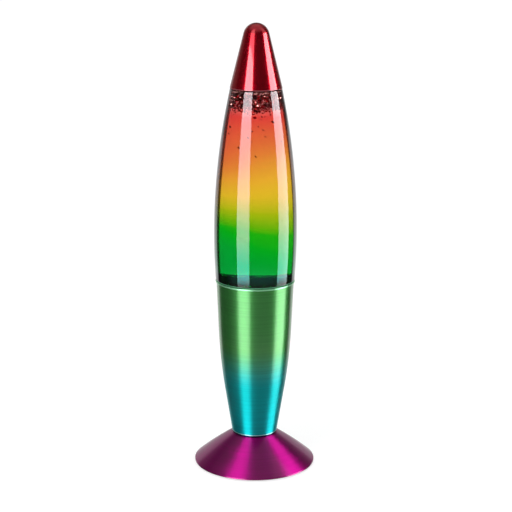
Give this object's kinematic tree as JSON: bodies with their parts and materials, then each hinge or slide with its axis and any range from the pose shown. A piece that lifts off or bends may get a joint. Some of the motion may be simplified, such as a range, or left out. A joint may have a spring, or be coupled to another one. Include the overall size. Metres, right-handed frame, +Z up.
{
  "type": "glitter lamp",
  "caption": "Rocket-shaped glitter lamp: a lacquered glass bottle of liquid and flakes with a pointed cap, lifting out of a flared metal stand that holds a bulb.",
  "frame": {"origin": "on the table under the middle of the foot", "axes": "+Z up along the lamp's axis, +Y towards the cord inlet at the back, so the front faces -Y"},
  "size_m": [0.11, 0.11, 0.4035],
  "materials": {
    "foot_magenta": "brushed round the axis, clear magenta lacquer",
    "cup_green": "brushed round the axis, green lacquer fading to teal at the bottom",
    "cap_red": "polished, clear red lacquer",
    "black_plastic": "matt",
    "white_insulation": "matt",
    "soft_pad": "matt foam",
    "black_rubber": "matt",
    "plated_steel": "zinc plated",
    "brass": "bright",
    "bulb_glass": "clear",
    "black_glass": "glossy",
    "solder": "dull",
    "tungsten": "drawn wire",
    "lacquered_glass": "clear lacquer that runs from red at the top through amber to green at the bottom",
    "liquid": "clear liquid",
    "flakes": "metallised film",
    "tinplate": "tinned",
    "seal": "soft"
  },
  "bodies": {
    "stand": {"foot_shell": "foot_magenta", "bottom_cover": "black_plastic", "pad_ring": "soft_pad", "cord_grommet": "black_rubber", "cup_shell": "cup_green", "threaded_tube": "plated_steel", "lower_washer": "plated_steel", "lower_nut": "plated_steel", "upper_washer": "plated_steel", "upper_nut": "plated_steel", "holder_dome": "black_plastic", "holder_core": "white_insulation", "holder_skirt": "black_plastic", "holder_sleeve": "brass", "holder_contact": "brass", "terminal_screws": "plated_steel"},
    "bulb": {"bulb_envelope": "bulb_glass", "bulb_screw_cap": "brass", "bulb_insulator": "black_glass", "bulb_tip": "solder", "bulb_stem": "bulb_glass", "bulb_filament": "tungsten"},
    "bottle": {"bottle_glass": "lacquered_glass", "clear_liquid": "liquid", "glitter_flakes": "flakes", "crown_cap": "tinplate", "crown_liner": "seal"},
    "cap": {"cap_shell": "cap_red"}
  },
  "joints": [
    {"name": "bottle_lift", "type": "slide", "parent": "stand", "child": "bottle", "axis": [0, 0, 1], "range_m": [0, 0.06]},
    {"name": "cap_lift", "type": "slide", "parent": "bottle", "child": "cap", "axis": [0, 0, 1], "range_m": [0, 0.06]},
    {"name": "bulb_unscrew", "type": "slide", "parent": "stand", "child": "bulb", "axis": [0, 0, 1], "range_m": [0, 0.014]}
  ]
}
